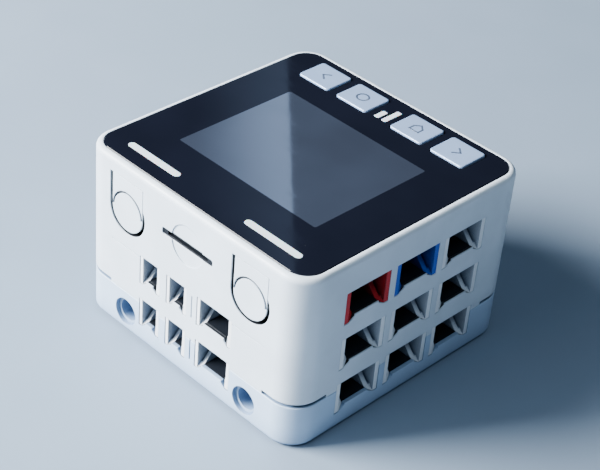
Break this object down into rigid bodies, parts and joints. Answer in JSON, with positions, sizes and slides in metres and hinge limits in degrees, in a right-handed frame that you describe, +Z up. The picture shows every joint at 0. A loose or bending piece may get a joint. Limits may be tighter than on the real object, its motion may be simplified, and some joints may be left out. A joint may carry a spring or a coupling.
{
  "type": "educational coding robot controller",
  "caption": "Cube-shaped programmable controller with a dark glass top, a display window, press keys, side buttons and rows of plug-in ports.",
  "frame": {"origin": "centre of the footprint, at the bottom of the rubber feet", "axes": "+Z up; -Y out of the front face with the two tongue buttons; +X out of the face with the grid of large ports"},
  "size_m": [0.064, 0.064, 0.0419],
  "materials": {
    "casing": "fine satin moulded plastic",
    "button_face": "fine satin moulded plastic",
    "glass_black": "polished, back-printed black",
    "window_grey": "polished, smoke grey",
    "adhesive": "foam tape",
    "foam": "closed-cell foam",
    "lcd_metal": "pressed sheet",
    "ribbon": "polyimide film",
    "light_guide": "milky diffuser",
    "circuit_board": "dark solder mask",
    "lamp": "moulded lamp body",
    "switch_body": "moulded",
    "key_face": "satin silver-white",
    "pressed_metal": "tinned sheet",
    "chip": "moulded epoxy",
    "connector": "moulded nylon",
    "port_white": "moulded nylon",
    "port_red": "moulded nylon",
    "port_blue": "moulded nylon",
    "port_dark": "moulded nylon",
    "contact": "gold flash",
    "speaker_frame": "moulded",
    "speaker_paper": "pressed paper",
    "magnet_steel": "plated",
    "battery_wrap": "foil pouch",
    "wire": "insulated wire",
    "screw": "zinc plated",
    "foot_rubber": "soft pad"
  },
  "bodies": {
    "casing": {"upper_shell": "casing", "base_tray": "casing", "top_panel": "glass_black", "display_window": "window_grey", "panel_bond": "adhesive", "display_gasket": "foam", "lcd_module": "lcd_metal", "display_ribbon": "ribbon", "light_bar_left": "light_guide", "light_bar_right": "light_guide", "status_lens": "light_guide", "light_board": "circuit_board", "key_board": "circuit_board", "side_switch_boards": "circuit_board", "right_port_board": "circuit_board", "front_port_board": "circuit_board", "main_board": "circuit_board", "light_leds": "lamp", "key_switches": "switch_body", "side_switches": "switch_body", "usb_socket": "pressed_metal", "wireless_module": "pressed_metal", "usb_tongue": "chip", "processor_chip": "chip", "motion_sensor_chip": "chip", "board_connectors": "connector", "battery_plug": "connector", "port_inserts": "port_dark", "card_socket": "port_dark", "right_port_1": "port_white", "right_port_2": "port_white", "right_port_3": "port_white", "right_port_4": "port_white", "right_port_5": "port_white", "right_port_6": "port_white", "right_port_7": "port_white", "front_port_1": "port_white", "front_port_2": "port_white", "front_port_3": "port_white", "front_port_4": "port_white", "front_port_5": "port_white", "front_port_6": "port_white", "port_red": "port_red", "port_blue": "port_blue", "port_pins": "contact", "speaker_basket": "speaker_frame", "speaker_cone": "speaker_paper", "speaker_magnet": "magnet_steel", "battery_pack": "battery_wrap", "battery_leads": "wire", "board_screws": "screw", "case_screws": "screw", "rubber_feet": "foot_rubber"},
    "key_1": {"key_1": "key_face"},
    "key_2": {"key_2": "key_face"},
    "key_3": {"key_3": "key_face"},
    "key_4": {"key_4": "key_face"},
    "side_button_left": {"side_button_left": "button_face"},
    "side_button_right": {"side_button_right": "button_face"}
  },
  "joints": [
    {"name": "key_1_press", "type": "slide", "parent": "casing", "child": "key_1", "axis": [0, 0, -1], "range_m": [0, 0.0005], "stiffness_N_per_m": 300},
    {"name": "key_2_press", "type": "slide", "parent": "casing", "child": "key_2", "axis": [0, 0, -1], "range_m": [0, 0.0005], "stiffness_N_per_m": 300},
    {"name": "key_3_press", "type": "slide", "parent": "casing", "child": "key_3", "axis": [0, 0, -1], "range_m": [0, 0.0005], "stiffness_N_per_m": 300},
    {"name": "key_4_press", "type": "slide", "parent": "casing", "child": "key_4", "axis": [0, 0, -1], "range_m": [0, 0.0005], "stiffness_N_per_m": 300},
    {"name": "side_button_left_press", "type": "hinge", "parent": "casing", "child": "side_button_left", "pos_m": [-0.0181, -0.032, 0.0383], "axis": [1, 0, 0], "range_deg": [0, 3], "stiffness_Nm_per_rad": 0.05},
    {"name": "side_button_right_press", "type": "hinge", "parent": "casing", "child": "side_button_right", "pos_m": [0.0181, -0.032, 0.0383], "axis": [1, 0, 0], "range_deg": [0, 3], "stiffness_Nm_per_rad": 0.05}
  ]
}
